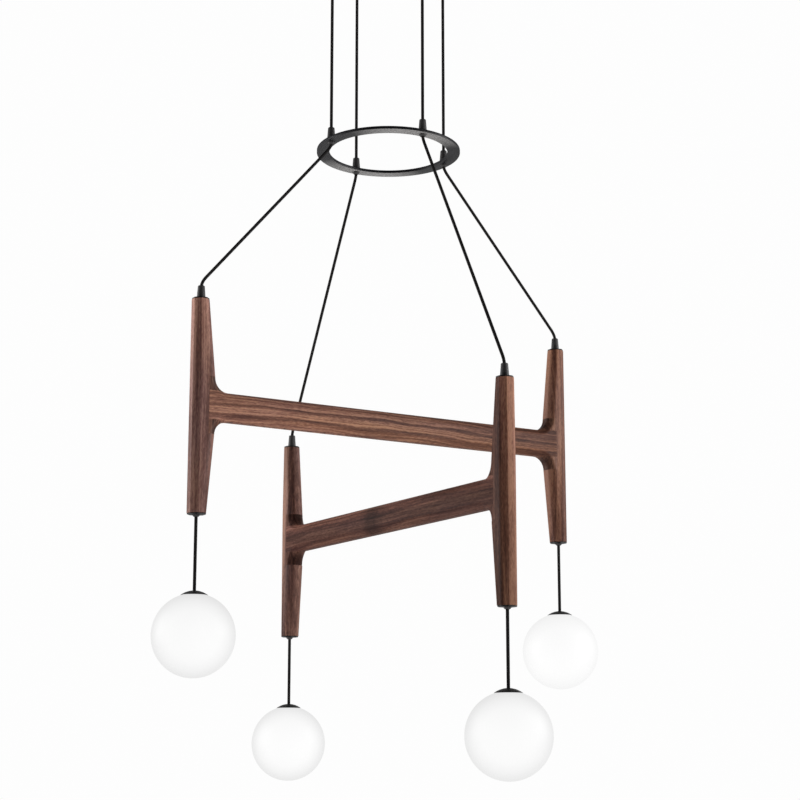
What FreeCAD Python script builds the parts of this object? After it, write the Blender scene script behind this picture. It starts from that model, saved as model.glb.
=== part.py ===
import FreeCAD, Part
import math
import os

# Hanging chandelier: two H-shaped walnut frames, one above the other and crossed at a right angle,
# hang on four black cables from a flat metal ring, which hangs on the same four cables from a
# round ceiling canopy. A cable drops from the foot of each post to an opal glass globe.
# The origin is on the ceiling, at the centre of the bracket's upper face. +Z is up, +X runs along
# the upper frame and +Y along the lower one. All lengths are in millimetres.

Vector = FreeCAD.Vector
up = Vector(0, 0, 1)
centre = Vector(0, 0, 0)

# Clearances
piece_gap = 0.3
thread_gap = 0.05
hole_gap = 0.25

# Cable
cable_radius = 3.0
cable_room = 0.7
end_band_count = 3
mouth_radius = cable_radius + piece_gap
ring_bend_radius = 12.0
post_bend_radius = 18.0
canopy_bend_radius = 9.0

# Ceiling bracket and canopy
bracket_width = 30.0
bracket_sheet = 2.0
bracket_tab_drop = 18.0
slot_spacing = 70.0
slot_radius = 2.6
slot_length = 16.0
canopy_overhang = 7.5
canopy_height = 30.0
canopy_wall = 1.5
canopy_edge_radius = 4.0
edge_band_count = 3
side_screw_radius = 2.0
side_screw_height = 11.0
side_screw_length = 12.0
side_screw_head_radius = 3.6
side_screw_head_height = 2.0

# Terminal block
block_poles = 5
pole_pitch = 8.6
block_width = 20.0
block_height = 15.0
pole_groove = 1.2
terminal_screw_radius = 1.8
terminal_screw_depth = 5.0
wire_hole_radius = 1.6
wire_hole_depth = 7.0
wire_hole_rise = 9.0
lead_height = 9.5

# Cord grip and the threaded tube that it screws on
grip_height = 24.0
grip_base_radius = 8.2
grip_top_radius = 6.4
grip_lip = 1.0
lip_wall = 1.3
tube_radius = 5.0
tube_in_grip = 9.0
tube_over_nut = 2.0
nut_flats = 14.0
nut_height = 5.0

# Suspension ring
ring_outer_radius = 142.5
ring_width = 25.0
ring_thickness = 6.0
ring_edge = 0.8
ring_drop = 450.0
ring_nut_radius = 7.2
ring_nut_height = 5.0
ring_nut_band = 1.7
tube_in_ring_nut = 3.0

# Wooden frames
upper_frame_drop = 355.0
lower_frame_drop = 533.0
post_spacing = 800.0
post_length = 397.0
post_outer_offset = 16.0
top_end_width = 31.0
top_end_thickness = 31.5
bottom_end_width = 33.0
bottom_end_thickness = 34.0
joint_width = 45.5
bar_thickness = 36.0
bar_height = 54.0
joint_fillet = 26.0
joint_depth = 16.5
facet_share = 1 - math.sqrt(0.5)
dowel_radius = 4.0
dowel_in_post = 16.0
dowel_in_bar = 24.0
dowel_offset = 10.5
dowel_end_room = 0.5

# Metal ends of the posts
plate_inset = 0.7
top_plate = 2.2
bottom_plate = 1.8
bush_height = 4.2
bush_radius = 7.2
bush_band = 1.0
tube_in_bush = 2.0

# Globe, its cap and what it holds
drop_cable_length = 132.4
globe_radius = 75.0
globe_lower_band_count = 9
globe_upper_band_count = 8
glass_wall = 3.2
globe_hole_radius = 20.0
cap_radius = 24.5
cap_rise = 3.0
cap_band_count = 3
cap_wall = 2.1
cap_edge = 0.7
cap_boss_height = 1.6
cap_boss_edge = 0.4
sleeve_gap = 0.4
sleeve_wall = 1.6
sleeve_depth = 15.0
lug_count = 3
lug_reach = 2.1
lug_height = 3.5
lug_angle = 20.0
notch_angle = 27.0
twist_angle = 30.0
holder_flange_radius = 13.0
holder_flange = 2.5
holder_radius = 9.5
holder_length = 26.0
holder_edge = 1.0
pin_radius = 0.7
pin_hole_radius = 1.0
pin_spacing = 9.0
pin_length = 5.0
bulb_length = 49.5
bulb_radius = 7.8
bulb_band_count = 4
bulb_base_step = 0.6
bulb_base_length = 12.0

# Sizes and places worked out from the ones above; those of a lamp are heights above its globe's centre
ring_inner_radius = ring_outer_radius - ring_width
canopy_radius = ring_outer_radius + canopy_overhang
tube_bore_radius = cable_radius + cable_room
lip_radius = mouth_radius + lip_wall
bulb_base_radius = bulb_radius + bulb_base_step
grip_circle = ring_outer_radius - ring_width / 2
post_axis = post_spacing / 2
canopy_mouth = -canopy_height - grip_height
ring_top = -ring_drop
ring_foot = ring_top - ring_thickness
ring_mouth = ring_top + grip_height
ring_exit = ring_foot - ring_nut_height
post_outer = post_axis + post_outer_offset
joint_inner = post_outer - joint_width
glue_face = joint_inner + joint_depth
joint_half_height = bar_height / 2 + joint_fillet
bush_foot = -bottom_plate - bush_height
cap_top = globe_radius + cap_rise
cap_ceiling = cap_top - cap_wall
cap_mouth = cap_top + cap_boss_height
sleeve_foot = globe_radius - sleeve_depth
holder_foot = cap_ceiling - holder_length
globe_place = bush_foot - drop_cable_length - cap_mouth

angles = {"right": 0, "rear": 90, "left": 180, "front": 270}
frames = {
    "upper": {"drop": upper_frame_drop, "sides": ("left", "right"), "turn": 0},
    "lower": {"drop": lower_frame_drop, "sides": ("front", "rear"), "turn": 90},
}


def save(name, *solids):
    """Writes one node, a single solid or a group of separate ones."""
    shape = solids[0] if len(solids) == 1 else Part.makeCompound(list(solids))
    shape.exportStep("parts/" + name + ".step")
    print(name, len(shape.Solids), round(shape.Volume, 1), shape.isValid())


def moved(shape, x=0.0, z=0.0, turn=0.0):
    """A copy pushed out along +X and up, then turned about the chandelier's axis."""
    copy = shape.copy()
    copy.translate(Vector(x, 0, z))
    copy.rotate(centre, up, turn)
    return copy


def at_sides(shape, radius, z, names=("right", "rear", "left", "front")):
    return [moved(shape, radius, z, angles[name]) for name in names]


def outline(start, *steps):
    """Closed wire in the XZ plane. A step is the next point, or an arc's middle and end points."""
    here = Vector(start[0], 0, start[1])
    first = here
    edges = []
    for step in steps + (start,):
        if isinstance(step[0], tuple):
            middle, end = [Vector(x, 0, z) for x, z in step]
            edges.append(Part.Arc(here, middle, end).toShape())
        else:
            end = Vector(step[0], 0, step[1])
            if end.distanceToPoint(here) < 1e-9:
                continue
            edges.append(Part.LineSegment(here, end).toShape())
        here = end
    assert here.distanceToPoint(first) < 1e-6
    return Part.Wire(edges)


def turned(start, *steps, angle=360.0):
    """Solid of revolution about Z from an outline of radius and height pairs."""
    return Part.Face(outline(start, *steps)).revolve(centre, up, angle)


def cylinder(radius, low, high, x=0.0, y=0.0):
    return Part.makeCylinder(radius, high - low, Vector(x, y, low), up)


def cylinder_along_x(radius, start, end, y=0.0, z=0.0):
    return Part.makeCylinder(radius, end - start, Vector(start, y, z), Vector(1, 0, 0))


def sleeve(radius, bore, low, high):
    return cylinder(radius, low, high).cut(cylinder(bore, low, high))


def on_sphere(radius, r):
    """Height of a sphere's upper half at the distance r from its axis."""
    return math.sqrt(radius ** 2 - r ** 2)


def banded_arc(radius, start, end, bands, r=0.0, z=0.0):
    """Points along an arc about (r, z) between two angles in degrees, one straight band apart."""
    points = []
    for i in range(bands + 1):
        angle = math.radians(start + (end - start) * i / bands)
        points.append((r + radius * math.cos(angle), z + radius * math.sin(angle)))
    return points


def round_ended_cable(low, high):
    """Straight cable between two pivot points, with a half ball past each one."""
    foot = banded_arc(cable_radius, -90, 0, end_band_count, z=low)
    head = banded_arc(cable_radius, 0, 90, end_band_count, z=high)
    return turned(*foot, *head)


def cable_along(name, points, radii, *ends):
    """Cable of straight runs joined by tangent arcs, one arc for each inner point."""
    pieces = list(ends)
    length = 0.0
    here = points[0]
    for before, corner, after, radius in zip(points, points[1:], points[2:], radii):
        back = (before - corner).normalize()
        ahead = (after - corner).normalize()
        turn = math.pi - back.getAngle(ahead)
        reach = radius * math.tan(turn / 2)
        start = corner + back * reach
        run = start.distanceToPoint(here)
        if run > 1e-6:
            pieces.append(Part.makeCylinder(cable_radius, run, here, back * -1))
        hub = corner + (back + ahead).normalize() * (radius / math.cos(turn / 2))
        disc = Part.Face(Part.Wire(Part.makeCircle(cable_radius, start, back)))
        pieces.append(disc.revolve(hub, ahead.cross(back), math.degrees(turn)))
        here = corner + ahead * reach
        length += run + radius * turn
        print(name, "bend radius", radius, "turn", round(math.degrees(turn), 1))
    last_run = points[-1].distanceToPoint(here)
    pieces.append(Part.makeCylinder(cable_radius, last_run, here, points[-1] - here))
    length += last_run
    plain = math.pi * cable_radius ** 2 * length + sum(end.Volume for end in ends)
    solid = pieces[0].fuse(pieces[1:]).removeSplitter()
    print(name, "length", round(length, 1), "volume ratio", round(solid.Volume / plain, 5))
    return solid


def octagon(inner, outer, thickness, z):
    """Corners of a post's section: a rectangle with its four corners cut off at 45 degrees."""
    half = thickness / 2
    cut = thickness * facet_share
    right = [(outer - cut, -half), (outer, cut - half), (outer, half - cut), (outer - cut, half)]
    left = [(inner + cut, half), (inner, half - cut), (inner, cut - half), (inner + cut, -half)]
    return [Vector(x, y, z) for x, y in right + left]


def faceted(sections):
    """Solid with flat facets between sections of equal corner count, from the lowest one up."""
    faces = []
    for lower, higher in zip(sections, sections[1:]):
        for i in range(len(lower)):
            j = (i + 1) % len(lower)
            corners = [lower[i], lower[j], higher[j], higher[i], lower[i]]
            faces.append(Part.Face(Part.makePolygon(corners)))
    for end in (sections[0], sections[-1]):
        faces.append(Part.Face(Part.makePolygon(end + end[:1])))
    solid = Part.Solid(Part.Shell(faces))
    if solid.Volume < 0:
        solid.reverse()
    return solid


# Ceiling bracket: a strip with two slots for ceiling screws and two turned-down tabs

def ceiling_bracket():
    half = bracket_width / 2
    reach = math.sqrt((canopy_radius - canopy_wall) ** 2 - half ** 2) - piece_gap
    strip = Part.makeBox(2 * reach, bracket_width, bracket_sheet, Vector(-reach, -half, -bracket_sheet))
    tab = Part.makeBox(
        bracket_sheet,
        bracket_width,
        bracket_tab_drop,
        Vector(reach - bracket_sheet, -half, -bracket_tab_drop),
    )
    body = strip.fuse([tab, moved(tab, turn=180)]).removeSplitter()
    slot_run = slot_length - 2 * slot_radius
    for x in (-slot_spacing / 2, slot_spacing / 2):
        body = body.cut(cylinder(slot_radius, -bracket_sheet, 0, x - slot_run / 2))
        body = body.cut(cylinder(slot_radius, -bracket_sheet, 0, x + slot_run / 2))
        low = Vector(x - slot_run / 2, -slot_radius, -bracket_sheet)
        body = body.cut(Part.makeBox(slot_run, 2 * slot_radius, bracket_sheet, low))
    screw_hole = side_screw_radius + thread_gap
    return body.cut(cylinder_along_x(screw_hole, -canopy_radius, canopy_radius, z=-side_screw_height))


def canopy_cup():
    """Shallow spun cup, open towards the ceiling, with four holes for the cord grips."""
    bend = canopy_edge_radius
    inner_bend = bend - canopy_wall
    rim = canopy_radius
    foot = -canopy_height
    hub_r = rim - bend
    hub_z = foot + bend
    cup = turned(
        (0, foot),
        *banded_arc(bend, -90, 0, edge_band_count, hub_r, hub_z),
        (rim, 0),
        (rim - canopy_wall, 0),
        *banded_arc(inner_bend, 0, -90, edge_band_count, hub_r, hub_z),
        (0, foot + canopy_wall),
    )
    hole = cylinder(tube_radius + thread_gap, foot, foot + canopy_wall)
    cup = cup.cut(at_sides(hole, grip_circle, 0))
    screw_hole = side_screw_radius + hole_gap
    return cup.cut(cylinder_along_x(screw_hole, -rim, rim, z=-side_screw_height))


def side_screw():
    shank = cylinder_along_x(side_screw_radius, canopy_radius - side_screw_length, canopy_radius)
    head = cylinder_along_x(
        side_screw_head_radius,
        canopy_radius + piece_gap,
        canopy_radius + piece_gap + side_screw_head_height,
    )
    neck = cylinder_along_x(side_screw_radius, canopy_radius, canopy_radius + piece_gap)
    return shank.fuse([neck, head]).removeSplitter()


def terminal_block():
    """Row of insulated poles, each with a clamping screw well and a wire hole at each end."""
    length = block_poles * pole_pitch
    top = -bracket_sheet
    foot = top - block_height
    block = Part.makeBox(length, block_width, block_height, Vector(-length / 2, -block_width / 2, foot))
    cuts = []
    for i in range(block_poles):
        x = (i - (block_poles - 1) / 2) * pole_pitch
        for side in (-1, 1):
            y = side * block_width / 4
            cuts.append(cylinder(terminal_screw_radius, foot, foot + terminal_screw_depth, x, y))
            start = Vector(x, side * block_width / 2, foot + wire_hole_rise)
            cuts.append(Part.makeCylinder(wire_hole_radius, wire_hole_depth, start, Vector(0, -side, 0)))
        if i > 0:
            edge = x - pole_pitch / 2 - pole_groove / 2
            low = Vector(edge, -block_width / 2, foot)
            cuts.append(Part.makeBox(pole_groove, block_width, block_height / 2, low))
    return block.cut(cuts)


# Cord grip, threaded tube and nuts; a grip stands on the plane z = 0 and its cable leaves at the top

def cord_grip():
    well = tube_in_grip + piece_gap
    shoulder = grip_height - grip_lip
    thread = tube_radius + thread_gap
    return turned(
        (thread, 0),
        (grip_base_radius, 0),
        (grip_top_radius, shoulder),
        (grip_top_radius - grip_lip, grip_height),
        (mouth_radius, grip_height),
        (mouth_radius, well),
        (thread, well),
    )


def hexagon_nut():
    corner = nut_flats / math.sqrt(3)
    points = [Vector(x, y, 0) for x, y in banded_arc(corner, 0, 360, 6)]
    body = Part.Face(Part.makePolygon(points)).extrude(up * nut_height)
    return body.cut(cylinder(tube_radius + thread_gap, 0, nut_height))


def ring_nut():
    """Tapered nut below the ring, with its top at z = 0 and the cable's mouth in its foot."""
    thread = tube_radius + thread_gap
    well = tube_in_ring_nut + piece_gap
    return turned(
        (thread, 0),
        (ring_nut_radius, 0),
        (ring_nut_radius, -ring_nut_band),
        (lip_radius, -ring_nut_height),
        (mouth_radius, -ring_nut_height),
        (mouth_radius, -well),
        (thread, -well),
    )


def upside_down(shape):
    copy = shape.copy()
    copy.rotate(centre, Vector(1, 0, 0), 180)
    return copy


def suspension_ring():
    inner = ring_inner_radius
    outer = ring_outer_radius
    ring = turned(
        (inner + ring_edge, ring_foot),
        (outer - ring_edge, ring_foot),
        (outer, ring_foot + ring_edge),
        (outer, ring_top - ring_edge),
        (outer - ring_edge, ring_top),
        (inner + ring_edge, ring_top),
        (inner, ring_top - ring_edge),
        (inner, ring_foot + ring_edge),
    )
    hole = cylinder(tube_radius + thread_gap, ring_foot, ring_top)
    return ring.cut(at_sides(hole, grip_circle, 0))


# Wooden frames, drawn with the crossbar along +X; heights are above the crossbar's middle line

def frame_middle(drop):
    return ring_foot - drop - post_length / 2


def post_solid():
    """Right-hand post: flat outer face, tapered inner side, notched for the crossbar's end."""
    foot = -post_length / 2
    top = post_length / 2
    joint = joint_half_height
    post = faceted([
        octagon(post_outer - bottom_end_width, post_outer, bottom_end_thickness, foot),
        octagon(joint_inner, post_outer, bar_thickness, -joint),
        octagon(joint_inner, post_outer, bar_thickness, joint),
        octagon(post_outer - top_end_width, post_outer, top_end_thickness, top),
    ])
    notch_low = Vector(joint_inner - bar_thickness, -bar_thickness, -joint)
    notch = Part.makeBox(glue_face - notch_low.x, 2 * bar_thickness, 2 * joint, notch_low)
    bore = cylinder(tube_radius + hole_gap, foot, top, post_axis)
    holes = [
        cylinder_along_x(dowel_radius + thread_gap, glue_face, glue_face + dowel_in_post + dowel_end_room, y)
        for y in (-dowel_offset, dowel_offset)
    ]
    return post.cut([notch, bore] + holes)


def crossbar_solid():
    """Bar with flared ends let into both posts, its long edges bevelled as the posts' facets are."""
    inner = joint_inner
    root = inner - joint_fillet
    half = bar_height / 2
    tip = joint_half_height
    slant = joint_fillet * math.sqrt(0.5)
    wire = outline(
        (glue_face, tip),
        (inner, tip),
        ((root + slant, tip - slant), (root, half)),
        (-root, half),
        ((-root - slant, tip - slant), (-inner, tip)),
        (-glue_face, tip),
        (-glue_face, -tip),
        (-inner, -tip),
        ((-root - slant, slant - tip), (-root, -half)),
        (root, -half),
        ((root + slant, slant - tip), (inner, -tip)),
        (glue_face, -tip),
    )
    wire.translate(Vector(0, -bar_thickness / 2, 0))
    blank = Part.Face(wire).extrude(Vector(0, bar_thickness, 0))
    bevelled = []
    for edge in blank.Edges:
        middle = edge.CenterOfMass
        on_side = abs(abs(middle.y) - bar_thickness / 2) < 1e-6
        if on_side and abs(middle.x) < inner and abs(middle.z) < tip:
            bevelled.append(edge)
    bar = blank.makeChamfer(bar_thickness * facet_share, bevelled)
    holes = []
    for y in (-dowel_offset, dowel_offset):
        start = glue_face - dowel_in_bar - dowel_end_room
        hole = cylinder_along_x(dowel_radius + thread_gap, start, glue_face, y)
        holes += [hole, moved(hole, turn=180)]
    return bar.cut(holes)


def dowels():
    pair = [
        cylinder_along_x(dowel_radius, glue_face - dowel_in_bar, glue_face + dowel_in_post, y)
        for y in (-dowel_offset, dowel_offset)
    ]
    return pair + [moved(dowel, turn=180) for dowel in pair]


def end_plate(width, thickness, low, high):
    """Plate over a post's end, a little smaller all round than the wood."""
    inner = post_outer - width + plate_inset
    outer = post_outer - plate_inset
    across = thickness - 2 * plate_inset
    plate = faceted([octagon(inner, outer, across, low), octagon(inner, outer, across, high)])
    return plate.cut(cylinder(tube_radius + thread_gap, low, high, post_axis))


def bottom_bush():
    """Conical nut under the bottom plate, with its top at z = 0 and the cable's mouth in its foot."""
    thread = tube_radius + thread_gap
    well = tube_in_bush + piece_gap
    return turned(
        (thread, 0),
        (bush_radius, 0),
        (bush_radius, -bush_band),
        (lip_radius, -bush_height),
        (mouth_radius, -bush_height),
        (mouth_radius, -well),
        (thread, -well),
    )


def post_tube(foot, top):
    low = foot - bottom_plate - tube_in_bush
    high = top + top_plate + tube_in_grip
    return sleeve(tube_radius, tube_bore_radius, low, high)


def frame_cable(name, foot, top):
    """Cable from the ring's exit, down a slope to the post's grip and through the post."""
    exit_point = Vector(grip_circle, 0, ring_exit)
    grip_mouth = Vector(post_axis, 0, top + top_plate + grip_height)
    reach = post_axis - grip_circle
    drop = exit_point.z - grip_mouth.z
    rest = reach - 2 * (ring_bend_radius + post_bend_radius)
    half_turn_tangent = (math.sqrt(drop ** 2 + reach * rest) - drop) / rest
    ring_corner = exit_point - up * (ring_bend_radius * half_turn_tangent)
    post_corner = grip_mouth + up * (post_bend_radius * half_turn_tangent)
    end_point = Vector(post_axis, 0, foot + bush_foot + cable_radius + piece_gap)
    end_ball = turned((0, 0), *banded_arc(cable_radius, 0, 90, end_band_count))
    return cable_along(
        name,
        [exit_point, ring_corner, post_corner, end_point],
        [ring_bend_radius, post_bend_radius],
        moved(end_ball, exit_point.x, exit_point.z),
    )


# Globe and its fittings, drawn about the globe's centre

def globe():
    """Blown glass ball with a round hole at the top and a notch for each of the cap's lugs."""
    inside = globe_radius - glass_wall
    hole = globe_hole_radius
    rim = math.degrees(math.acos(hole / globe_radius))
    inner_rim = math.degrees(math.acos(hole / inside))
    ball = turned(
        *banded_arc(globe_radius, -90, 0, globe_lower_band_count),
        *banded_arc(globe_radius, 0, rim, globe_upper_band_count),
        *banded_arc(inside, inner_rim, 0, globe_upper_band_count),
        *banded_arc(inside, 0, -90, globe_lower_band_count),
    )
    reach = hole + lug_reach + piece_gap
    notch = turned(
        (hole - lug_reach, inside / 2),
        (reach, inside / 2),
        (reach, globe_radius),
        (hole - lug_reach, globe_radius),
        angle=notch_angle,
    )
    notches = []
    for i in range(lug_count):
        turn = i * 360.0 / lug_count + twist_angle - notch_angle / 2
        notches.append(moved(notch, turn=turn))
    return ball.cut(notches)


def globe_cap():
    """Shallow spun dome over the globe's hole, with a sleeve and three lugs that carry the glass."""
    seat = globe_radius + piece_gap
    outside = globe_hole_radius - sleeve_gap
    inside = outside - sleeve_wall
    rim_foot = on_sphere(seat, cap_radius)
    rim_top = rim_foot + cap_edge
    rise = cap_top - rim_top
    dome = (cap_radius ** 2 + rise ** 2) / (2 * rise)
    dome_edge = math.degrees(math.acos(cap_radius / dome))
    dome_end = math.degrees(math.acos(lip_radius / dome))
    body = turned(
        (mouth_radius, cap_mouth),
        (lip_radius - cap_boss_edge, cap_mouth),
        (lip_radius, cap_mouth - cap_boss_edge),
        *banded_arc(dome, dome_end, dome_edge, cap_band_count, z=cap_top - dome),
        (cap_radius, rim_foot),
        (outside, on_sphere(seat, outside)),
        (outside, sleeve_foot),
        (inside, sleeve_foot),
        (inside, cap_ceiling),
        (mouth_radius, cap_ceiling),
    )
    reach = outside + lug_reach
    lug_top = on_sphere(globe_radius - glass_wall, reach) - piece_gap
    lug = turned(
        (outside - sleeve_wall / 2, lug_top - lug_height),
        (reach, lug_top - lug_height),
        (reach, lug_top),
        (outside - sleeve_wall / 2, lug_top),
        angle=lug_angle,
    )
    lugs = [moved(lug, turn=i * 360.0 / lug_count - lug_angle / 2) for i in range(lug_count)]
    return body.fuse(lugs).removeSplitter()


def lampholder():
    """Two-pin ceramic holder hung from the cap's ceiling by its flange."""
    flange_foot = cap_ceiling - holder_flange
    body = turned(
        (0, holder_foot),
        (holder_radius - holder_edge, holder_foot),
        (holder_radius, holder_foot + holder_edge),
        (holder_radius, flange_foot),
        (holder_flange_radius, flange_foot),
        (holder_flange_radius, cap_ceiling),
        (0, cap_ceiling),
    )
    depth = holder_foot + pin_length + piece_gap
    holes = [cylinder(pin_hole_radius, holder_foot, depth, x) for x in (-pin_spacing / 2, pin_spacing / 2)]
    return body.cut(holes)


def bulb():
    """Capsule bulb with a moulded foot and two pins."""
    top = holder_foot - piece_gap
    foot = top - bulb_length
    base_foot = top - bulb_base_length
    body = turned(
        *banded_arc(bulb_radius, -90, 0, bulb_band_count, z=foot + bulb_radius),
        (bulb_radius, base_foot - bulb_base_step),
        (bulb_base_radius, base_foot),
        (bulb_base_radius, top),
        (0, top),
    )
    pin_top = holder_foot + pin_length
    pins = [cylinder(pin_radius, top, pin_top, x) for x in (-pin_spacing / 2, pin_spacing / 2)]
    return body.fuse(pins).removeSplitter()


def build_canopy():
    floor = -canopy_height + canopy_wall
    save("ceiling_bracket", ceiling_bracket())
    save("canopy_cup", canopy_cup())
    save("canopy_side_screws", *[moved(side_screw(), z=-side_screw_height, turn=turn) for turn in (0, 180)])
    save("terminal_block", terminal_block())
    save("canopy_grips", *at_sides(upside_down(cord_grip()), grip_circle, -canopy_height))
    low = -canopy_height - tube_in_grip
    high = floor + nut_height + tube_over_nut
    save("canopy_nipples", *at_sides(sleeve(tube_radius, tube_bore_radius, low, high), grip_circle, 0))
    save("canopy_nuts", *at_sides(hexagon_nut(), grip_circle, floor))
    start = Vector(grip_circle, 0, canopy_mouth + cable_radius + piece_gap)
    corner = Vector(grip_circle, 0, -lead_height)
    block_ends = {
        "right": block_poles * pole_pitch / 2,
        "left": block_poles * pole_pitch / 2,
        "rear": block_width / 2,
        "front": block_width / 2,
    }
    leads = []
    for side, end in block_ends.items():
        last = Vector(end + piece_gap, 0, -lead_height)
        lead = cable_along(side + "_lead", [start, corner, last], [canopy_bend_radius])
        leads.append(moved(lead, turn=angles[side]))
    save("canopy_leads", *leads)


def build_ring():
    save("suspension_ring", suspension_ring())
    save("ring_grips", *at_sides(cord_grip(), grip_circle, ring_top))
    low = ring_foot - tube_in_ring_nut
    high = ring_top + tube_in_grip
    save("ring_nipples", *at_sides(sleeve(tube_radius, tube_bore_radius, low, high), grip_circle, 0))
    save("ring_nuts", *at_sides(ring_nut(), grip_circle, ring_foot))
    end_room = cable_radius + piece_gap
    lead = cylinder(cable_radius, ring_exit + end_room, ring_mouth - end_room)
    save("ring_leads", *at_sides(lead, grip_circle, 0))
    cable = round_ended_cable(ring_mouth, canopy_mouth)
    for side, angle in angles.items():
        save(side + "_suspension_cable", moved(cable, grip_circle, 0, angle))


def build_frame(name, drop, sides, turn):
    middle = frame_middle(drop)
    top = middle + post_length / 2
    foot = middle - post_length / 2
    save(name + "_crossbar", moved(crossbar_solid(), z=middle, turn=turn))
    save(name + "_dowels", *[moved(dowel, z=middle, turn=turn) for dowel in dowels()])
    for side in sides:
        save(side + "_post", moved(post_solid(), z=middle, turn=angles[side]))
        cable = frame_cable(side + "_frame_cable", foot, top)
        save(side + "_frame_cable", moved(cable, turn=angles[side]))
    tube = post_tube(foot, top)
    save(name + "_post_tubes", *at_sides(tube, post_axis, 0, sides))
    cover = end_plate(top_end_width, top_end_thickness, 0, top_plate)
    save(name + "_top_plates", *at_sides(cover, 0, top, sides))
    cover = end_plate(bottom_end_width, bottom_end_thickness, -bottom_plate, 0)
    save(name + "_bottom_plates", *at_sides(cover, 0, foot, sides))
    save(name + "_post_grips", *at_sides(cord_grip(), post_axis, top + top_plate, sides))
    save(name + "_bottom_bushes", *at_sides(bottom_bush(), post_axis, foot - bottom_plate, sides))
    heart = foot + globe_place
    cable = round_ended_cable(heart + cap_mouth, foot + bush_foot)
    for side in sides:
        angle = angles[side]
        save(side + "_drop_cable", moved(cable, post_axis, 0, angle))
        save(side + "_globe_cap", moved(globe_cap(), post_axis, heart, angle))
        save(side + "_lampholder", moved(lampholder(), post_axis, heart, angle))
        save(side + "_bulb", moved(bulb(), post_axis, heart, angle))
        save(side + "_globe", moved(globe(), post_axis, heart, angle))


os.makedirs("parts", exist_ok=True)
build_canopy()
build_ring()
for frame_name, frame in frames.items():
    build_frame(frame_name, frame["drop"], frame["sides"], frame["turn"])
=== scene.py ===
import math

import bmesh
import bpy
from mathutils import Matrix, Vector


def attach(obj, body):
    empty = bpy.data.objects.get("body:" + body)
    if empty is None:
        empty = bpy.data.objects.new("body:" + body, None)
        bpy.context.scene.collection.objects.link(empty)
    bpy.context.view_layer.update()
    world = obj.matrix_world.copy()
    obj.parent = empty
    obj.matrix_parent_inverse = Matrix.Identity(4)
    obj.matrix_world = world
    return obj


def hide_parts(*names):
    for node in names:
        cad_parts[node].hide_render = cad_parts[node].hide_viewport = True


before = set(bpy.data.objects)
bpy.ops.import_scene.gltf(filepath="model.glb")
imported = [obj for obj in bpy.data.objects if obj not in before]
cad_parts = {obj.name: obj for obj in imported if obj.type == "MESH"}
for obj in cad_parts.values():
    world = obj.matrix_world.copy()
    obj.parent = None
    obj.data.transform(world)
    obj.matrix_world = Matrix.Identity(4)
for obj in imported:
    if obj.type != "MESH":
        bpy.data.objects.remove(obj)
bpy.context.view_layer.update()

SIDES = {"right": (1, 0), "rear": (0, 1), "left": (-1, 0), "front": (0, -1)}
FRAMES = {"upper": ("left", "right"), "lower": ("front", "rear")}

# Sizes repeated from the part, in metres; its heights are counted from the ceiling
CABLE_RADIUS = 0.003
CABLE_HOLE = 0.0033
TUBE_HOLE = 0.0050
NUT_RADIUS = 0.0072
NUT_TIP = 0.0046
GRIP_RADIUS = 0.0082
GRIP_HEIGHT = 0.0240
GRIP_CIRCLE = 0.130
POST_AXIS = 0.400
CANOPY_FOOT = -0.030
CANOPY_MOUTH = -0.054
RING_INSIDE = 0.1175
RING_OUTSIDE = 0.1425
RING_TOP = -0.450
RING_FOOT = -0.456
RING_MOUTH = -0.426
POST_FOOT = {"upper": -1.208, "lower": -1.386}
POST_TOP = {"upper": -0.811, "lower": -0.989}
TOP_PLATE = 0.0022
BOTTOM_PLATE = 0.0018
MIDDLE = {"upper": -1.0095, "lower": -1.1875}
BUSH_MOUTH = {"upper": -1.214, "lower": -1.392}
HEART = {"upper": -1.426, "lower": -1.604}
CAP_MOUTH = 0.0796
GLOBE_RADIUS = 0.075
GLASS_WALL = 0.0032
GLOBE_HOLE = 0.020


# Camera at the photograph's place: below the lower globes, looking up

CAMERA_PLACE = (-1.7400, -2.9453, -1.6698)
CAMERA_HEADING = 30.96
CAMERA_TILT = 11.77
FOCAL_PIXELS = 1805.3
IMAGE_PIXELS = 800.0
SENSOR = 36.0
CLIP_END = 60.0

camera_data = bpy.data.cameras.new("camera")
camera_data.sensor_width = SENSOR
camera_data.lens = FOCAL_PIXELS / IMAGE_PIXELS * SENSOR
camera_data.clip_end = CLIP_END
camera = bpy.data.objects.new("camera", camera_data)
bpy.context.scene.collection.objects.link(camera)
camera.location = CAMERA_PLACE
heading, tilt = math.radians(CAMERA_HEADING), math.radians(CAMERA_TILT)
sight = Vector((math.sin(heading) * math.cos(tilt), math.cos(heading) * math.cos(tilt), math.sin(tilt)))
camera.rotation_euler = sight.to_track_quat("-Z", "Y").to_euler()
bpy.context.scene.camera = camera


# Node helpers

def rgba(value):
    """Colour with its alpha, from a colour or a grey level."""
    return (*value, 1) if hasattr(value, "__len__") else (value, value, value, 1)


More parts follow.
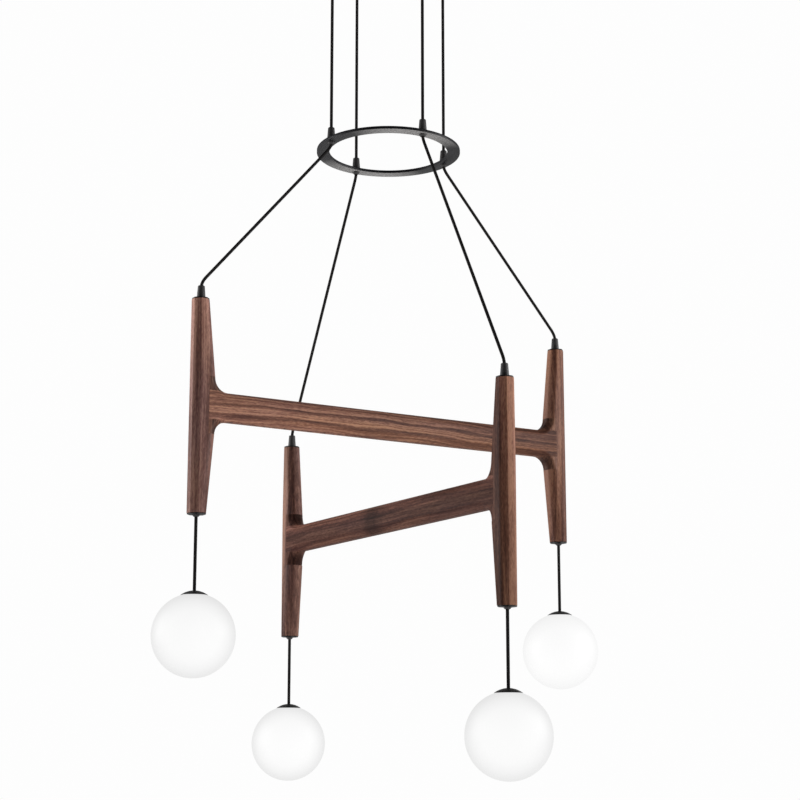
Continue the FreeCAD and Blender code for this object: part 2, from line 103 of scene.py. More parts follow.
class Nodes:
    """A material's node tree with short calls for the nodes that the looks here need."""

    def __init__(self, name):
        self.material = bpy.data.materials.new(name)
        self.material.use_nodes = True
        self.tree = self.material.node_tree
        self.shader = self.tree.nodes["Principled BSDF"]

    def node(self, kind, inputs=None, **settings):
        made = self.tree.nodes.new(kind)
        for key, value in settings.items():
            setattr(made, key, value)
        for key, value in (inputs or {}).items():
            self.put(made.inputs[key], value)
        return made

    def put(self, socket, value):
        if isinstance(value, bpy.types.NodeSocket):
            self.tree.links.new(value, socket)
        else:
            socket.default_value = value

    def set(self, **values):
        """Sets or links the shader's inputs, named with underscores for spaces."""
        for key, value in values.items():
            self.put(self.shader.inputs[key.replace("_", " ")], value)

    def place(self, output="Object"):
        return self.node("ShaderNodeTexCoord").outputs[output]

    def parts(self, vector):
        return tuple(self.node("ShaderNodeSeparateXYZ", {0: vector}).outputs)

    def math(self, operation, a, b=0.0, c=0.0, clamp=False):
        made = self.node("ShaderNodeMath", operation=operation, use_clamp=clamp)
        for i, value in enumerate((a, b, c)):
            self.put(made.inputs[i], value)
        return made.outputs[0]

    def moved(self, base, noise, amount):
        """Base moved both ways by a noise whose mean is one half."""
        return self.math("MULTIPLY_ADD", self.math("SUBTRACT", noise, 0.5), amount, base)

    def share(self, value, low, high):
        """Place of a value between two ends, from 0 to 1."""
        ends = {"Value": value, "From Min": low, "From Max": high}
        return self.node("ShaderNodeMapRange", ends).outputs[0]

    def noise(self, vector, scale, detail, roughness, dimensions="3D"):
        made = self.node("ShaderNodeTexNoise", noise_dimensions=dimensions)
        self.put(made.inputs["W" if dimensions == "1D" else "Vector"], vector)
        self.put(made.inputs["Scale"], scale)
        self.put(made.inputs["Detail"], detail)
        self.put(made.inputs["Roughness"], roughness)
        return made.outputs["Fac"]

    def mapping(self, vector, location=(0, 0, 0), rotation=(0, 0, 0), scale=(1, 1, 1)):
        made = self.node("ShaderNodeMapping", {"Vector": vector, "Location": location, "Scale": scale})
        made.inputs["Rotation"].default_value = [math.radians(a) for a in rotation]
        return made.outputs[0]

    def ramp(self, factor, *stops):
        made = self.node("ShaderNodeValToRGB", {"Fac": factor})
        elements = made.color_ramp.elements
        while len(elements) < len(stops):
            elements.new(0.5)
        for element, (place, colour) in zip(elements, stops):
            element.position = place
            element.color = rgba(colour)
        return made.outputs["Color"]

    def mix(self, factor, a, b, blend="MIX"):
        made = self.node("ShaderNodeMix", data_type="RGBA", blend_type=blend)
        self.put(made.inputs["Factor"], factor)
        for key, value in ((6, a), (7, b)):
            self.put(made.inputs[key], value if isinstance(value, bpy.types.NodeSocket) else rgba(value))
        return made.outputs[2]

    def bump(self, height, distance, strength):
        made = self.node("ShaderNodeBump", {"Height": height, "Distance": distance, "Strength": strength})
        return made.outputs[0]


# Walnut

# Turns that lay the grain along the texture's X axis, in degrees
GRAIN = {"X": (0, 0, 0), "Y": (0, 0, -90), "Z": (0, 90, 0)}

# The wood's noises: scale along the grain, scale across it, detail and roughness
WOOD_NOISES = {
    "bow": (3.2, 7.0, 1.5, 0.45),
    "ripple": (13.0, 30.0, 2.0, 0.5),
    "streak": (7.0, 240.0, 2.0, 0.55),
    "fibre": (26.0, 820.0, 3.0, 0.65),
    "fleck": (125.0, 520.0, 1.0, 0.5),
    "purple": (4.0, 34.0, 2.0, 0.5),
    "pores": (95.0, 1900.0, 1.0, 0.5),
}
# How far bow and ripple bend the year rings, in metres
BOW_BEND = 0.034
RIPPLE_BEND = 0.0045

# Noises by the distance from the log's heart: offset, scale and the ramp's stops
YEAR_RINGS = {
    "late": (0.0, 165.0, ((0.36, 0.0), (0.50, 0.35), (0.60, 1.0), (0.68, 0.45))),
    "pale": (3.7, 230.0, ((0.57, 0.0), (0.68, 1.0))),
    "broad": (7.1, 48.0, ((0.34, 0.0), (0.66, 1.0))),
}

# The wood's colour by its tone, from pale to dark
WOOD_COLOURS = (
    (0.0, (0.400, 0.204, 0.128)),
    (0.30, (0.222, 0.100, 0.064)),
    (0.62, (0.112, 0.047, 0.032)),
    (1.0, (0.044, 0.019, 0.015)),
)
PURPLE_TINT = (0.84, 0.84, 0.98)
PORE_COLOUR = (0.022, 0.011, 0.009)
END_GRAIN_TINT = (0.26, 0.23, 0.24)

# Turn of the line across the posts' streak tone, clockwise from +X in degrees: the camera's right, so its painted
# facet shade and sheen lie across the view;
# half its length in millimetres, and how far the streak tone waves, in metres
ACROSS_VIEW_TURN = 31.0
STREAK_SPAN = 20
STREAK_WAVE = 0.010

# How far the slow changes of tone wander, as a share of their length, and the flare's border, in metres
SHADE_DRIFT = 0.05
FLARE_WOBBLE = 0.004


def walnut(
    name, grain, heart, seed, tint,
    figure=1.0, slant=0.0, gloss=0.16, wave=1.0, streaks_and_facet_light=None, flare=None, shades=(),
):
    """Oiled walnut sawn from a log whose heart runs beside the piece, at a slight slant to it.

    streaks_and_facet_light are the arguments of streaked_with_facet_light(), a tone partly painted facet shade and
    sheen; shades are those of shaded(), some of them painted light and shade. flare gives a crossbar's middle
    height, half the height of its straight part, and the shade of the upright wood beyond that.
    """
    n = Nodes(name)
    wood = n.mapping(n.place(), rotation=GRAIN[grain])
    wood = n.mapping(wood, location=(seed, -heart[0], -heart[1]), rotation=(0, 0, slant))
    if flare:
        middle, half, shade = flare
        wobble = n.math("MULTIPLY", n.noise(n.place(), 160.0, 2.0, 0.5), FLARE_WOBBLE)
        height = n.math("ABSOLUTE", n.math("SUBTRACT", n.parts(n.place())[2], middle))
        flared = n.math("GREATER_THAN", n.math("ADD", height, wobble), half)
        upright = n.mapping(n.place(), rotation=GRAIN["Z"])
        upright = n.mapping(upright, location=(seed, heart[0], heart[1]))
        wood = n.node("ShaderNodeMix", {0: flared, 4: wood, 5: upright}, data_type="VECTOR").outputs[1]

    noises = {}
    for key, (along, across, detail, roughness) in WOOD_NOISES.items():
        noises[key] = n.noise(n.mapping(wood, scale=(along, across, across)), 1.0, detail, roughness)
    _, y, z = n.parts(wood)
    depth = n.math("SQRT", n.math("MULTIPLY_ADD", z, z, n.math("MULTIPLY", y, y)))
    depth = n.moved(depth, noises["bow"], BOW_BEND * wave)
    depth = n.moved(depth, noises["ripple"], RIPPLE_BEND * wave)
    rings = {}
    for key, (offset, scale, stops) in YEAR_RINGS.items():
        rings[key] = n.ramp(n.noise(n.math("ADD", depth, offset), scale, 1.0, 0.5, "1D"), *stops)

    tone = n.math("MULTIPLY_ADD", rings["late"], 0.34 * figure, n.math("MULTIPLY", rings["broad"], 0.30))
    tone = n.math("MULTIPLY_ADD", rings["pale"], -0.26 * figure, n.math("ADD", tone, 0.12))
    for key, amount in (("streak", 0.85), ("fibre", 0.55), ("fleck", 0.6)):
        tone = n.moved(tone, noises[key], amount)
    if streaks_and_facet_light:
        # Tone across the post, partly painted facet shade and sheen
        tone = n.math("ADD", tone, streaked_with_facet_light(n, *streaks_and_facet_light))
    tone = n.math("MAXIMUM", tone, 0.0, clamp=True)

    colour = n.ramp(tone, *[(place, tuple(c * t for c, t in zip(shown, tint))) for place, shown in WOOD_COLOURS])
    purple = n.mix(1.0, colour, PURPLE_TINT, "MULTIPLY")
    colour = n.mix(n.ramp(noises["purple"], (0.42, 0.0), (0.66, 0.85)), colour, purple)
    pores = n.ramp(noises["pores"], (0.59, 0.0), (0.68, 1.0))
    colour = n.mix(n.math("MULTIPLY", pores, 0.55), colour, PORE_COLOUR)
    unshaded = colour
    # Slow tone changes along the axes, some of them painted light and shade
    for axis, stops in shades:
        colour = n.mix(1.0, colour, shaded(n, axis, stops), "MULTIPLY")
    if flare:
        colour = n.mix(flared, colour, n.mix(1.0, unshaded, shade, "MULTIPLY"))
    facing = n.parts(n.mapping(n.place("Normal"), rotation=GRAIN[grain]))[0]
    end = n.ramp(n.math("ABSOLUTE", facing), (0.30, 0.0), (0.75, 1.0))
    colour = n.mix(n.math("MULTIPLY", end, 0.8), colour, n.mix(1.0, colour, END_GRAIN_TINT, "MULTIPLY"))

    rough = n.math("MULTIPLY_ADD", noises["fibre"], 0.18, 0.40)
    rough = n.math("MULTIPLY_ADD", pores, 0.15, rough)
    height = n.math("MULTIPLY_ADD", pores, -0.8, n.math("MULTIPLY", noises["fibre"], 0.5))
    n.set(Base_Color=colour, Roughness=rough, Normal=n.bump(height, 0.00022, 0.5), Specular_IOR_Level=gloss)
    return n.material


def streaked_with_facet_light(n, axis, levels, lean=(0.0, 0.0)):
    """Shift of a post's tone by the place across it, partly the wood's own and partly painted facet shade and sheen;
    lean is the slope of the streak lines and the height where it's nil.
    """
    slope, level_height = lean
    spot = n.mapping(n.place(), location=(-axis[0], -axis[1], 0))
    x, _, z = n.parts(n.mapping(spot, rotation=(0, 0, ACROSS_VIEW_TURN)))
    wave = n.noise(n.mapping(n.place(), scale=(6.0, 6.0, 6.0)), 1.0, 1.0, 0.5)
    across = n.moved(x, wave, STREAK_WAVE)
    across = n.math("MULTIPLY_ADD", n.math("SUBTRACT", z, level_height), -slope, across)
    share = n.share(across, -STREAK_SPAN / 1000, STREAK_SPAN / 1000)
    stops = [((place + STREAK_SPAN) / (2 * STREAK_SPAN), 0.5 + level) for place, level in levels]
    return n.math("SUBTRACT", n.ramp(share, *stops), 0.5)


def shaded(n, axis, stops):
    """Slow change of the wood's tone along one of its axes, from (place, level) pairs in metres; some of these
    changes are painted light and shade.
    """
    low, high = stops[0][0], stops[-1][0]
    drift = n.noise(n.place(), 9.0, 2.0, 0.5)
    spot = n.moved(n.parts(n.place())[axis], drift, SHADE_DRIFT * (high - low))
    return n.ramp(n.share(spot, low, high), *[((place - low) / (high - low), level) for place, level in stops])


# The other materials

# Heading of the ring's two paler sectors of painted sheen, clockwise from +Y in degrees, and how they fade
PAINTED_SHEEN_HEADING = 9.0
PAINTED_SHEEN_FADE = ((0.60, 0.0), (0.87, 0.80), (1.0, 1.1))
PAINTED_SHEEN_COLOUR = (0.310, 0.302, 0.299)

# The braid's threads: waves per unit along the cable, and starts around it
BRAID_ALONG = 2200.0
BRAID_STARTS = 8

# The opal glass's glow by how far its surface turns away, falling off towards the rim as painted shade; the right
# globe's copy is painted a little brighter at its rim
GLOW_PLACES = (0.0, 0.2, 0.4, 0.56, 0.69, 0.8, 1.0)
OPAL_GLOW = (0.93, 0.895, 0.825, 0.765, 0.725, 0.70, 0.68)
PAINTED_BRIGHTER_RIM_GLOW = (0.93, 0.91, 0.87, 0.84, 0.81, 0.79, 0.77)


def powder_coat(name, colour, roughness, grit=0.00005):
    """Satin paint with a fine orange peel, slightly rubbed in places."""
    n = Nodes(name)
    peel = n.noise(n.place(), 1300.0, 2.0, 0.6)
    cloud = n.noise(n.place(), 28.0, 3.0, 0.6)
    shade = n.ramp(cloud, (0.3, tuple(c * 0.85 for c in colour)), (0.7, tuple(c * 1.18 for c in colour)))
    rough = n.math("MULTIPLY_ADD", cloud, 0.14, roughness - 0.07)
    n.set(Base_Color=shade, Roughness=rough, Normal=n.bump(peel, grit, 0.6), Specular_IOR_Level=0.2)
    return n.material


def satin_ring(name):
    """Blackened steel with the faint round marks of polishing, and a painted sheen: paler colour in two sectors of
    its underside.
    """
    n = Nodes(name)
    x, y, _ = n.parts(n.place())
    radius = n.math("SQRT", n.math("ADD", n.math("POWER", x, 2.0), n.math("POWER", y, 2.0)))
    marks = n.noise(radius, 2600.0, 3.0, 0.7, "1D")
    cloud = n.noise(n.place(), 22.0, 3.0, 0.6)
    shade = n.ramp(cloud, (0.3, (0.009, 0.009, 0.011)), (0.7, (0.016, 0.016, 0.019)))
    axis = math.radians(PAINTED_SHEEN_HEADING)
    along = n.math("MULTIPLY_ADD", x, math.sin(axis), n.math("MULTIPLY", y, math.cos(axis)))
    painted_sheen = n.ramp(n.math("ABSOLUTE", n.math("DIVIDE", along, radius)), *PAINTED_SHEEN_FADE)
    underside = n.math("LESS_THAN", n.parts(n.place("Normal"))[2], -0.6)
    # The underside's two sectors get a paler colour: a painted sheen
    shade = n.mix(n.math("MULTIPLY", painted_sheen, underside), shade, PAINTED_SHEEN_COLOUR)
    n.set(
        Base_Color=shade,
        Roughness=n.math("MULTIPLY_ADD", cloud, 0.14, 0.26),
        Normal=n.bump(marks, 0.00004, 0.5),
        Tangent=n.node("ShaderNodeTangent", direction_type="RADIAL", axis="Z").outputs[0],
        Specular_IOR_Level=n.math("MULTIPLY_ADD", underside, 0.34, 0.12),
        Anisotropic=0.85,
    )
    return n.material


def braid(name):
    """Fine black textile braid over the cable: two families of slanting threads."""
    n = Nodes(name)
    u, v, _ = n.parts(n.place("UV"))
    along = n.math("MULTIPLY", u, BRAID_ALONG)
    around = n.math("MULTIPLY", v, 2 * math.pi * BRAID_STARTS)
    one = n.math("SINE", n.math("ADD", along, around))
    two = n.math("SINE", n.math("SUBTRACT", along, around))
    weave = n.math("MAXIMUM", one, two)
    fuzz = n.noise(n.place(), 900.0, 2.0, 0.6)
    level = n.math("MULTIPLY_ADD", weave, 0.2, fuzz)
    shade = n.ramp(level, (0.2, (0.014, 0.0130, 0.0130)), (0.9, (0.026, 0.0240, 0.0240)))
    n.set(Base_Color=shade, Roughness=0.8, Normal=n.bump(weave, 0.00002, 0.15), Specular_IOR_Level=0.06)
    return n.material


def opal(name, levels):
    """Satin opal glass glowing by emission, as lit from within; its glow falls off towards the rim as painted shade.
    """
    n = Nodes(name)
    shade = n.ramp(n.noise(n.place(), 9.0, 2.0, 0.5), (0.3, 0.095), (0.7, 0.105))
    ripple = n.noise(n.place(), 60.0, 2.0, 0.5)
    facing = n.node("ShaderNodeLayerWeight").outputs["Facing"]
    n.set(
        Base_Color=shade,
        Roughness=0.5,
        Normal=n.bump(ripple, 0.00004, 0.3),
        # Emission glow whose fall-off towards the rim is painted shade
        Emission_Color=n.ramp(facing, *zip(GLOW_PLACES, levels)),
        Emission_Strength=1.0,
        Specular_IOR_Level=0.15,
    )
    return n.material


def zinc(name):
    """Zinc-plated steel with a cloudy surface."""
    n = Nodes(name)
    cloud = n.noise(n.place(), 120.0, 3.0, 0.6)
    shade = n.ramp(cloud, (0.3, (0.42, 0.42, 0.43)), (0.7, (0.60, 0.60, 0.59)))
    rough = n.math("MULTIPLY_ADD", cloud, 0.2, 0.28)
    n.set(Base_Color=shade, Metallic=1.0, Roughness=rough, Normal=n.bump(cloud, 0.00003, 0.5))
    return n.material


def plain_mottle(name, dark, light, roughness, scale, depth):
    """Plain surface with a slight mottle in its colour and height."""
    n = Nodes(name)
    cloud = n.noise(n.place(), scale, 3.0, 0.6)
    shade = n.ramp(cloud, (0.3, dark), (0.7, light))
    n.set(Base_Color=shade, Roughness=roughness, Normal=n.bump(cloud, depth, 0.5))
    return n.material


COAT = powder_coat("satin_black", (0.014, 0.0135, 0.0138), 0.36)
FITTING = powder_coat("fitting_black", (0.060, 0.0575, 0.0585), 0.46, 0.00003)
PLATE = powder_coat("plate_black", (0.018, 0.0172, 0.0176), 0.38)
CANOPY = powder_coat("canopy_black", (0.020, 0.0195, 0.020), 0.66, 0.00008)
RING = satin_ring("ring_metal")
CABLE = braid("cable_braid")
GLASS = opal("opal_glass", OPAL_GLOW)
PAINTED_BRIGHTER_RIM_GLASS = opal("opal_glass_right", PAINTED_BRIGHTER_RIM_GLOW)
ZINC = zinc("zinc_plate")
CERAMIC = plain_mottle("glazed_ceramic", (0.80, 0.78, 0.74), (0.88, 0.86, 0.82), 0.22, 60.0, 0.00002)
INSULATOR = plain_mottle("block_plastic", (0.70, 0.70, 0.67), (0.78, 0.78, 0.74), 0.4, 300.0, 0.00003)
FROST = plain_mottle("bulb_frost", (0.85, 0.84, 0.80), (0.92, 0.90, 0.86), 0.5, 200.0, 0.00002)
BEECH = plain_mottle("dowel_beech", (0.50, 0.34, 0.20), (0.62, 0.45, 0.28), 0.6, 500.0, 0.0001)


# Cables: each is a free cord between two of the lamp's own fittings

def at(side, radius, z):
    dx, dy = SIDES[side]
    return (dx * radius, dy * radius, z)


def cable(name, body, points, node):
    """Cable on one smooth line, with the route's points as its control points."""
    curve = bpy.data.curves.new(name, "CURVE")
    curve.dimensions = "3D"
    curve.bevel_depth = CABLE_RADIUS
    curve.bevel_resolution = 5
    curve.resolution_u = 16
    curve.use_fill_caps = True
    spline = curve.splines.new("NURBS")
    spline.points.add(len(points) - 1)
    for point, place in zip(spline.points, points):
        point.co = (*place, 1)
    spline.order_u = 3
    spline.use_endpoint_u = True
    curve.materials.append(CABLE)
    piece = bpy.data.objects.new(name, curve)
    bpy.context.scene.collection.objects.link(piece)
    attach(piece, body)
    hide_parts(node)


CABLE_BODY = {"left": "side_cables", "right": "side_cables", "front": "front_cable", "rear": "rear_cable"}

# Distance from a fitting's mouth to a straight cable's middle point
NEAR_GRIP = 0.036

# Radius and height of each sloped cable's points, from the ring's exit to the post's bottom bush
SLOPES = {
    "upper": [
        (0.1300, -0.4580),
        (0.1300, -0.4655),
        (0.1496, -0.4882),
        (0.3803, -0.7550),
        (0.4000, -0.7778),
        (0.4000, -0.7960),
        (0.4000, -1.2107),
    ],
    "lower": [
        (0.1300, -0.4580),
        (0.1300, -0.4641),
        (0.1442, -0.4903),
        (0.3863, -0.9327),
        (0.4000, -0.9579),
        (0.4000, -0.9760),
        (0.4000, -1.3887),
    ],
}

for side, body in CABLE_BODY.items():
    points = [
        at(side, GRIP_CIRCLE, CANOPY_MOUTH + CABLE_RADIUS),
        at(side, GRIP_CIRCLE, RING_MOUTH + NEAR_GRIP),
        at(side, GRIP_CIRCLE, RING_MOUTH - CABLE_RADIUS),
    ]
    cable(side + "_upper_cable", body, points, side + "_suspension_cable")

for name, sides in FRAMES.items():
    for side in sides:
        points = [at(side, radius, z) for radius, z in SLOPES[name]]
        node = side + "_frame_cable"
        cable(side + "_sloped_cable", "frame_" + name, points, node)
        points = [
            at(side, POST_AXIS, BUSH_MOUTH[name] + CABLE_RADIUS),
            at(side, POST_AXIS, BUSH_MOUTH[name] - NEAR_GRIP),
            at(side, POST_AXIS, HEART[name] + CAP_MOUTH - CABLE_RADIUS),
        ]
        node = side + "_drop_cable"
        cable(side + "_lower_cable", side + "_pendant", points, node)


# Mesh helpers

# A profile's point nearer to the axis than this lies on it
ON_AXIS = 1e-7
ROUND_STEPS = 4


def add_mesh(name, build, material, body, node, smooth=40.0):
    """New mesh object from a function that fills a bmesh; edges sharper than the smooth angle stay sharp."""
    mesh = bpy.data.meshes.new(name)
    work = bmesh.new()
    build(work)
    bmesh.ops.recalc_face_normals(work, faces=work.faces)
    for face in work.faces:
        face.smooth = True
    for edge in work.edges:
        if len(edge.link_faces) == 2 and edge.calc_face_angle(0.0) > math.radians(smooth):
            edge.smooth = False
    work.to_mesh(mesh)
    work.free()
    mesh.materials.append(material)
    piece = bpy.data.objects.new(name, mesh)
    bpy.context.scene.collection.objects.link(piece)
    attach(piece, body)
    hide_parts(node)


def lathe(profile, places, segments):
    """Function that fills a bmesh with a turned form at each place; the profile is closed, as radius and height."""
    turns = [2 * math.pi * i / segments for i in range(segments)]

    def circle(radius):
        if radius < ON_AXIS:
            return [(0.0, 0.0)]
        return [(radius * math.cos(a), radius * math.sin(a)) for a in turns]

    def build(work):
        for x, y, z in places:
            rings = []
            for radius, height in profile:
                rings.append([work.verts.new((x + dx, y + dy, z + height)) for dx, dy in circle(radius)])
            for one, two in zip(rings, rings[1:] + rings[:1]):
                if len(one) == 1 and len(two) == 1:
                    continue
                for i in range(segments):
                    j = (i + 1) % segments
                    corners = [one[i % len(one)], one[j % len(one)], two[j % len(two)], two[i % len(two)]]
                    work.faces.new(list(dict.fromkeys(corners)))
    return build


def rounded(points, radius):
    """Profile with its corners rounded; a point's third value overrides the radius."""
    out = []
    for i, point in enumerate(points):
        here = Vector(point[:2])
        size = point[2] if len(point) > 2 else radius
        if size <= 0:
            out.append(tuple(here))
            continue
        back = Vector(points[i - 1][:2]) - here
        ahead = Vector(points[(i + 1) % len(points)][:2]) - here
        reach = min(size, back.length * 0.45, ahead.length * 0.45)
        start, end = here + back.normalized() * reach, here + ahead.normalized() * reach
        for k in range(ROUND_STEPS + 1):
            t = k / ROUND_STEPS
            out.append(tuple(start * (1 - t) ** 2 + here * 2 * t * (1 - t) + end * t ** 2))
    return out


def arc_points(radius, start, end, steps, centre=0.0):
    """Points of a circle about the axis, by angle from straight up."""
    found = []
    for k in range(steps + 1):
        a = start + (end - start) * k / steps
        found.append((radius * math.sin(a), centre + radius * math.cos(a)))
    return found


# Wood: the solids with softened edges, apart from where two pieces are glued together

LONG_EDGE = 0.0030
END_EDGE = 0.0008
WELD = 1e-6
FLAT = math.radians(0.5)
LONG_EDGE_ANGLE = math.radians(20)
END_EDGE_ANGLE = math.radians(30)

# The joint of post and crossbar: distances from the lamp's axis, heights from the bar's middle
NEAR = 0.0002
GLUE_FACE = 0.387
JOINT_HALF = 0.053
BORE_REACH = 0.006
BORE_START = 0.15
DOWEL_PLACE = 0.0105
DOWEL_REACH = 0.0045
DOWEL_START = 0.36
DOWEL_END = GLUE_FACE + 0.02


def in_order(work):
    """Sorts a bmesh's parts by their places, as two bevels leave them in an order that changes from run to run."""
    for parts, key in (
        (work.verts, lambda vert: tuple(vert.co)),
        (work.edges, lambda edge: sorted(tuple(v.co) for v in edge.verts)),
        (work.faces, lambda face: sorted(tuple(v.co) for v in face.verts)),
    ):
        rank = {part: i for i, part in enumerate(sorted(parts, key=key))}
        parts.sort(key=lambda part: rank[part])


def softened(node, material, body, glued, ends=None):
    """Copy of a wooden solid with rounded edges, and with no rounding in its glue faces."""
    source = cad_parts[node]

    def in_end(edge):
        """Tells whether both of an edge's vertices lie in an end face."""
        return ends is not None and all(min(abs(v.co.z - z) for z in ends) < NEAR for v in edge.verts)

    def free(edge):
        return not glued((edge.verts[0].co + edge.verts[1].co) / 2)

    def bevelled(work, edges, width, steps):
        bmesh.ops.bevel(
            work, geom=edges, offset=width, offset_type="OFFSET", segments=steps, profile=0.5, affect="EDGES",
        )

    def build(work):
        work.from_mesh(source.data)
        work.transform(source.matrix_world)
        bmesh.ops.remove_doubles(work, verts=work.verts, dist=WELD)
        bmesh.ops.dissolve_limit(work, angle_limit=FLAT, verts=work.verts, edges=work.edges)
        long_edges = []
        for edge in work.edges:
            sharp = len(edge.link_faces) == 2 and edge.calc_face_angle(0.0) >= LONG_EDGE_ANGLE
            if sharp and free(edge) and not in_end(edge):
                long_edges.append(edge)
        bevelled(work, long_edges, LONG_EDGE, 4)
        if ends is None:
            return
        rim = []
        for edge in work.edges:
            if in_end(edge) and free(edge) and edge.calc_face_angle(0.0) > END_EDGE_ANGLE:
                rim.append(edge)
        bevelled(work, rim, END_EDGE, 3)
        in_order(work)

    add_mesh(node + "_wood", build, material, body, node, smooth=50.0)


def in_joint(name):
    """Test of whether a place lies in a glue face, in a dowel hole or in the bore of a frame's post."""
    along_x = name == "upper"

    def test(spot):
        u = abs(spot.x if along_x else spot.y)
        v = spot.y if along_x else spot.x
        z = spot.z - MIDDLE[name]
        on_face = abs(u - GLUE_FACE) < NEAR
        on_step = abs(abs(z) - JOINT_HALF) < NEAR
        in_bore = math.hypot(u - POST_AXIS, v) < BORE_REACH and abs(z) > BORE_START
        in_dowel = abs(z) < DOWEL_REACH and abs(abs(v) - DOWEL_PLACE) < DOWEL_REACH
        return on_face or on_step or in_bore or (in_dowel and DOWEL_START < u < DOWEL_END)
    return test


# Each post's wood: the log's heart beside it, seed, tint and gloss
POST_WOOD = {
    "left": ((0.014, 0.034), 0.31, (1.10, 1.15, 1.36), 0.16),
    "right": ((-0.020, 0.030), 1.73, (0.94, 0.88, 0.83), 0.16),
    "front": ((0.022, -0.026), 2.91, (1.25, 1.17, 1.10), 0.11),
    "rear": ((-0.016, -0.036), 4.27, (0.88, 0.91, 1.02), 0.16),
}

# Each post's streak tone, partly the wood's own and partly painted facet shade and sheen: its axis, its tone by the
# millimetres across it (more is darker), and how the streak lines lean
STREAKS_AND_FACET_LIGHT = {
    "left": (
        (-0.4, 0.0),
        (
            (-20, -0.04), (-15, -0.10), (-12, -0.26), (-8, -0.26), (-5, -0.14),
            (-2, 0.0), (2, 0.04), (12, 0.04), (20, -0.06),
        ),
    ),
    "right": (
        (0.4, 0.0),
        (
            (-20, -0.40), (-14, -0.18), (-9, 0.14), (-4, 0.14), (-1, -0.12),
            (3, -0.30), (7, -0.16), (11, 0.12), (20, 0.24),
        ),
        (0.012, MIDDLE["upper"]),
    ),
    "front": (
        (0.0, -0.4),
        (
            (-20, 0.20), (-13, 0.26), (-8, 0.14), (-4, 0.04), (0, -0.10),
            (6, -0.26), (11, -0.28), (15, -0.14), (20, -0.04),
        ),
    ),
    "rear": (
        (0.0, 0.4),
        (
            (-20, -0.44), (-14, -0.34), (-9, 0.22), (-3, 0.25),
            (3, 0.05), (8, -0.12), (20, -0.14),
        ),
        (0.040, MIDDLE["lower"]),
    ),
}

# Slow changes of tone as factors of the colour, by the share of a post's height; the left post's paler top is a
# painted sheen
HEIGHT_TONES_AND_SHEEN = {
    # The left post's top, up to 1.5 times paler, is painted sheen
    "left": ((0.0, 0.90), (0.2, 0.93), (0.45, 0.90), (0.65, 1.02), (0.8, 1.18), (1.0, 1.50)),
    "right": ((0.0, 0.86), (0.25, 0.97), (0.6, 0.95), (0.85, 1.03), (1.0, 1.20)),
    "front": ((0.0, 0.66), (0.2, 0.70), (0.45, 0.80), (0.7, 0.92), (0.9, 1.06), (1.0, 1.15)),
    "rear": ((0.0, 0.84), (0.15, 0.90), (0.4, 0.95), (0.7, 1.10), (0.85, 0.88), (1.0, 0.86)),
}

# Others by the place along an axis (0 is X, 1 is Y, 2 is Z), in metres; the lower crossbar's are painted light and
# shade
FACE_TONES = {"front": ((0, ((-0.0170, 0.66), (-0.0150, 0.72), (-0.0118, 1.0))),)}
BAR_TONES_AND_PAINTED_LIGHT = {
    "upper": (
        (0, (
            (-0.37, (1.14, 1.14, 1.14)), (-0.15, (1.10, 1.10, 1.10)), (-0.02, (0.91, 0.91, 0.87)),
            (0.09, (0.84, 0.82, 0.78)), (0.20, (0.71, 0.67, 0.62)), (0.32, (0.55, 0.49, 0.45)),
            (0.37, (0.50, 0.44, 0.41)),
        )),
    ),
    "lower": (
        # Lower crossbar along Y: the dark band is a painted shadow
        (1, ((-0.37, 0.97), (-0.02, 0.95), (0.02, 0.52), (0.05, 0.52), (0.08, 0.98), (0.25, 1.0), (0.37, 1.03))),
        # Across its height: the paler upper edge is painted light from above, the darker middle painted shade
        (2, (
            (MIDDLE["lower"] - 0.027, 0.98), (MIDDLE["lower"] - 0.010, 0.86), (MIDDLE["lower"] - 0.001, 0.74),
            (MIDDLE["lower"] + 0.004, 0.90), (MIDDLE["lower"] + 0.008, 1.40), (MIDDLE["lower"] + 0.027, 1.80),
        )),
    ),
}
FLARE_HALF = 0.029


def post_tones_and_sheen(name, side):
    foot, top = POST_FOOT[name], POST_TOP[name]
    tones = ((2, [(foot + share * (top - foot), level) for share, level in HEIGHT_TONES_AND_SHEEN[side]]),)
    return tones + FACE_TONES.get(side, ())


WALNUT = {}
for name, sides in FRAMES.items():
    for side in sides:
        heart, seed, tint, gloss = POST_WOOD[side]
        WALNUT[side + "_post"] = walnut(
            "walnut_" + side + "_post", "Z", heart, seed, tint, figure=0.6, gloss=gloss, wave=0.6,
            streaks_and_facet_light=STREAKS_AND_FACET_LIGHT[side], shades=post_tones_and_sheen(name, side),
        )
WALNUT["upper_crossbar"] = walnut(
    "walnut_upper_crossbar", "X", (0.055, 0.012), 5.11, (1.38, 1.36, 1.33), slant=1.6, wave=1.4,
    flare=(MIDDLE["upper"], FLARE_HALF, 0.62), shades=BAR_TONES_AND_PAINTED_LIGHT["upper"],
)
WALNUT["lower_crossbar"] = walnut(
    "walnut_lower_crossbar", "Y", (0.050, -0.018), 6.53, (0.51, 0.46, 0.49), figure=0.45, gloss=0.07,
    flare=(MIDDLE["lower"], FLARE_HALF, 0.9), shades=BAR_TONES_AND_PAINTED_LIGHT["lower"],
)
for name, sides in FRAMES.items():
    body = "frame_" + name
    glued = in_joint(name)
    softened(name + "_crossbar", WALNUT[name + "_crossbar"], body, glued)
    for side in sides:
        softened(side + "_post", WALNUT[side + "_post"], body, glued, (POST_FOOT[name], POST_TOP[name]))


# Turned metal pieces; a profile's points are radius, height and the corner's own rounding

FITTING_SEGMENTS = 48
RING_SEGMENTS = 192
CAP_SEGMENTS = 96
GLOBE_SEGMENTS = 128


def add_turned(name, profile, places, material, body, node, segments=FITTING_SEGMENTS):
    add_mesh(name, lathe(profile, places, segments), material, body, node)


def flipped(profile):
    return [(radius, -z) for radius, z in profile]


